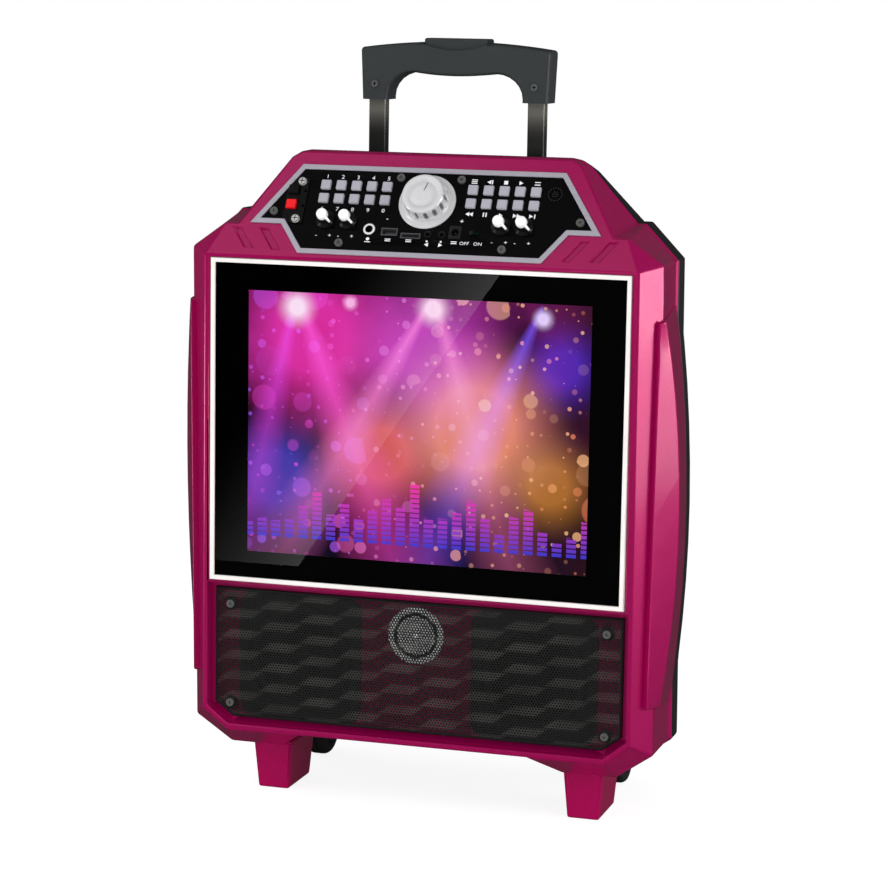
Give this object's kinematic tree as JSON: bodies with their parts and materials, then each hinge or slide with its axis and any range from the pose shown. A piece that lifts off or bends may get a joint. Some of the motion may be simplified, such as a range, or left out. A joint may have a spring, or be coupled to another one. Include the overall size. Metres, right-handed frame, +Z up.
{
  "type": "trolley karaoke machine",
  "caption": "Wheeled karaoke machine: a portable speaker cabinet with a built-in display, sloped control console, perforated speaker grille, telescopic handle, feet and rear wheels.",
  "frame": {"origin": "bottom centre of the bounding box, on the ground between the feet and the wheels", "axes": "+Z up; -Y is the front, which carries the screen; +X is to the right as seen from the front"},
  "size_m": [0.4462, 0.224, 0.669],
  "materials": {
    "magenta": "metallic lacquer",
    "magenta_foot": "metallic lacquer",
    "black_case": "fine texture",
    "white_frame": "gloss",
    "screen_glass": "polished",
    "display": "satin",
    "panel_black": "semi-gloss",
    "trim_silver": "satin",
    "circuit": "solder mask",
    "battery_case": "matte, standing in for lead and acid",
    "grille": "powder coat",
    "speaker": "matte, standing in for frame and magnet",
    "tweeter": "satin",
    "tyre_black": "matte",
    "steel": "brushed",
    "tube_black": "satin",
    "handle_grey": "fine texture",
    "key_grey": "satin",
    "knob_silver": "satin",
    "knob_white": "gloss cap on a black skirt",
    "socket_black": "satin",
    "socket_metal": "bright",
    "lever_red": "gloss",
    "lever_black": "gloss",
    "screw_black": "black oxide"
  },
  "bodies": {
    "cabinet": {"front_shell": "magenta", "rear_shell": "black_case", "screen_frame": "white_frame", "screen_glass": "screen_glass", "lcd_panel": "display", "panel_plate": "panel_black", "panel_trim": "trim_silver", "control_board": "circuit", "amp_board": "circuit", "battery": "battery_case", "speaker_grille": "grille", "woofer_left": "speaker", "woofer_right": "speaker", "tweeter": "tweeter", "foot_left": "magenta_foot", "foot_right": "magenta_foot", "wheel_axle": "steel", "wheel_bracket": "black_case", "handle_channel": "tube_black", "mic_jack": "socket_metal", "media_module": "socket_metal", "line_jacks": "socket_black", "dc_jack": "socket_black", "terminal_block": "socket_black", "case_screws": "screw_black"},
    "handle": {"inner_tube_left": "tube_black", "inner_tube_right": "tube_black", "grip": "handle_grey", "grip_screws": "screw_black"},
    "release": {"release_button": "handle_grey"},
    "small_knob_1": {"small_knob_1": "knob_white"},
    "small_knob_2": {"small_knob_2": "knob_white"},
    "small_knob_3": {"small_knob_3": "knob_white"},
    "small_knob_4": {"small_knob_4": "knob_white"},
    "volume_knob": {"volume_knob": "knob_silver"},
    "button_01": {"button_01": "key_grey"},
    "button_02": {"button_02": "key_grey"},
    "button_03": {"button_03": "key_grey"},
    "button_04": {"button_04": "key_grey"},
    "button_05": {"button_05": "key_grey"},
    "button_06": {"button_06": "key_grey"},
    "button_07": {"button_07": "key_grey"},
    "button_08": {"button_08": "key_grey"},
    "button_09": {"button_09": "key_grey"},
    "button_10": {"button_10": "key_grey"},
    "button_11": {"button_11": "key_grey"},
    "button_12": {"button_12": "key_grey"},
    "button_13": {"button_13": "key_grey"},
    "button_14": {"button_14": "key_grey"},
    "button_15": {"button_15": "key_grey"},
    "button_16": {"button_16": "key_grey"},
    "button_17": {"button_17": "key_grey"},
    "button_18": {"button_18": "key_grey"},
    "button_19": {"button_19": "key_grey"},
    "button_20": {"button_20": "key_grey"},
    "lever_black": {"lever_black": "lever_black"},
    "lever_red": {"lever_red": "lever_red"},
    "switch_slider": {"switch_slider": "socket_black"},
    "wheel_left": {"wheel_left": "tyre_black"},
    "wheel_right": {"wheel_right": "tyre_black"}
  },
  "joints": [
    {"name": "handle_slide", "type": "slide", "parent": "cabinet", "child": "handle", "axis": [0, 0, 1], "range_m": [-0.04, 0.3]},
    {"name": "release_press", "type": "slide", "parent": "handle", "child": "release", "axis": [0, 0, -1], "range_m": [0, 0.003], "stiffness_N_per_m": 900, "springref_m": -0.0005},
    {"name": "small_knob_1_turn", "type": "hinge", "parent": "cabinet", "child": "small_knob_1", "pos_m": [-0.0879, -0.09325, 0.51445], "axis": [0, -0.866, 0.5], "range_deg": [-22, 268]},
    {"name": "small_knob_2_turn", "type": "hinge", "parent": "cabinet", "child": "small_knob_2", "pos_m": [-0.068, -0.09325, 0.51445], "axis": [0, -0.866, 0.5], "range_deg": [-22, 268]},
    {"name": "small_knob_3_turn", "type": "hinge", "parent": "cabinet", "child": "small_knob_3", "pos_m": [0.068, -0.09325, 0.51445], "axis": [0, -0.866, 0.5], "range_deg": [-22, 268]},
    {"name": "small_knob_4_turn", "type": "hinge", "parent": "cabinet", "child": "small_knob_4", "pos_m": [0.0879, -0.09325, 0.51445], "axis": [0, -0.866, 0.5], "range_deg": [-22, 268]},
    {"name": "volume_turn", "type": "hinge", "parent": "cabinet", "child": "volume_knob", "pos_m": [0, -0.0833, 0.53168], "axis": [0, -0.866, 0.5], "range_deg": [-150, 150]},
    {"name": "button_01_press", "type": "slide", "parent": "cabinet", "child": "button_01", "axis": [0, 0.866, -0.5], "range_m": [0, 0.001], "stiffness_N_per_m": 400, "springref_m": -0.0002},
    {"name": "button_02_press", "type": "slide", "parent": "cabinet", "child": "button_02", "axis": [0, 0.866, -0.5], "range_m": [0, 0.001], "stiffness_N_per_m": 400, "springref_m": -0.0002},
    {"name": "button_03_press", "type": "slide", "parent": "cabinet", "child": "button_03", "axis": [0, 0.866, -0.5], "range_m": [0, 0.001], "stiffness_N_per_m": 400, "springref_m": -0.0002},
    {"name": "button_04_press", "type": "slide", "parent": "cabinet", "child": "button_04", "axis": [0, 0.866, -0.5], "range_m": [0, 0.001], "stiffness_N_per_m": 400, "springref_m": -0.0002},
    {"name": "button_05_press", "type": "slide", "parent": "cabinet", "child": "button_05", "axis": [0, 0.866, -0.5], "range_m": [0, 0.001], "stiffness_N_per_m": 400, "springref_m": -0.0002},
    {"name": "button_06_press", "type": "slide", "parent": "cabinet", "child": "button_06", "axis": [0, 0.866, -0.5], "range_m": [0, 0.001], "stiffness_N_per_m": 400, "springref_m": -0.0002},
    {"name": "button_07_press", "type": "slide", "parent": "cabinet", "child": "button_07", "axis": [0, 0.866, -0.5], "range_m": [0, 0.001], "stiffness_N_per_m": 400, "springref_m": -0.0002},
    {"name": "button_08_press", "type": "slide", "parent": "cabinet", "child": "button_08", "axis": [0, 0.866, -0.5], "range_m": [0, 0.001], "stiffness_N_per_m": 400, "springref_m": -0.0002},
    {"name": "button_09_press", "type": "slide", "parent": "cabinet", "child": "button_09", "axis": [0, 0.866, -0.5], "range_m": [0, 0.001], "stiffness_N_per_m": 400, "springref_m": -0.0002},
    {"name": "button_10_press", "type": "slide", "parent": "cabinet", "child": "button_10", "axis": [0, 0.866, -0.5], "range_m": [0, 0.001], "stiffness_N_per_m": 400, "springref_m": -0.0002},
    {"name": "button_11_press", "type": "slide", "parent": "cabinet", "child": "button_11", "axis": [0, 0.866, -0.5], "range_m": [0, 0.001], "stiffness_N_per_m": 400, "springref_m": -0.0002},
    {"name": "button_12_press", "type": "slide", "parent": "cabinet", "child": "button_12", "axis": [0, 0.866, -0.5], "range_m": [0, 0.001], "stiffness_N_per_m": 400, "springref_m": -0.0002},
    {"name": "button_13_press", "type": "slide", "parent": "cabinet", "child": "button_13", "axis": [0, 0.866, -0.5], "range_m": [0, 0.001], "stiffness_N_per_m": 400, "springref_m": -0.0002},
    {"name": "button_14_press", "type": "slide", "parent": "cabinet", "child": "button_14", "axis": [0, 0.866, -0.5], "range_m": [0, 0.001], "stiffness_N_per_m": 400, "springref_m": -0.0002},
    {"name": "button_15_press", "type": "slide", "parent": "cabinet", "child": "button_15", "axis": [0, 0.866, -0.5], "range_m": [0, 0.001], "stiffness_N_per_m": 400, "springref_m": -0.0002},
    {"name": "button_16_press", "type": "slide", "parent": "cabinet", "child": "button_16", "axis": [0, 0.866, -0.5], "range_m": [0, 0.001], "stiffness_N_per_m": 400, "springref_m": -0.0002},
    {"name": "button_17_press", "type": "slide", "parent": "cabinet", "child": "button_17", "axis": [0, 0.866, -0.5], "range_m": [0, 0.001], "stiffness_N_per_m": 400, "springref_m": -0.0002},
    {"name": "button_18_press", "type": "slide", "parent": "cabinet", "child": "button_18", "axis": [0, 0.866, -0.5], "range_m": [0, 0.001], "stiffness_N_per_m": 400, "springref_m": -0.0002},
    {"name": "button_19_press", "type": "slide", "parent": "cabinet", "child": "button_19", "axis": [0, 0.866, -0.5], "range_m": [0, 0.001], "stiffness_N_per_m": 400, "springref_m": -0.0002},
    {"name": "button_20_press", "type": "slide", "parent": "cabinet", "child": "button_20", "axis": [0, 0.866, -0.5], "range_m": [0, 0.001], "stiffness_N_per_m": 400, "springref_m": -0.0002},
    {"name": "lever_black_press", "type": "hinge", "parent": "cabinet", "child": "lever_black", "pos_m": [-0.1238, -0.08022, 0.53781], "axis": [0, 0.5, 0.866], "range_deg": [0, 12], "stiffness_Nm_per_rad": 0.03, "springref_deg": -2.86},
    {"name": "lever_red_press", "type": "hinge", "parent": "cabinet", "child": "lever_red", "pos_m": [-0.1238, -0.08727, 0.5256], "axis": [0, 0.5, 0.866], "range_deg": [0, 12], "stiffness_Nm_per_rad": 0.03, "springref_deg": -2.86},
    {"name": "power_switch_slide", "type": "slide", "parent": "cabinet", "child": "switch_slider", "axis": [1, 0, 0], "range_m": [0, 0.003]},
    {"name": "wheel_left_roll", "type": "hinge", "parent": "cabinet", "child": "wheel_left", "pos_m": [-0.143, 0.068, 0.03], "axis": [1, 0, 0], "continuous": true},
    {"name": "wheel_right_roll", "type": "hinge", "parent": "cabinet", "child": "wheel_right", "pos_m": [0.143, 0.068, 0.03], "axis": [1, 0, 0], "continuous": true}
  ]
}
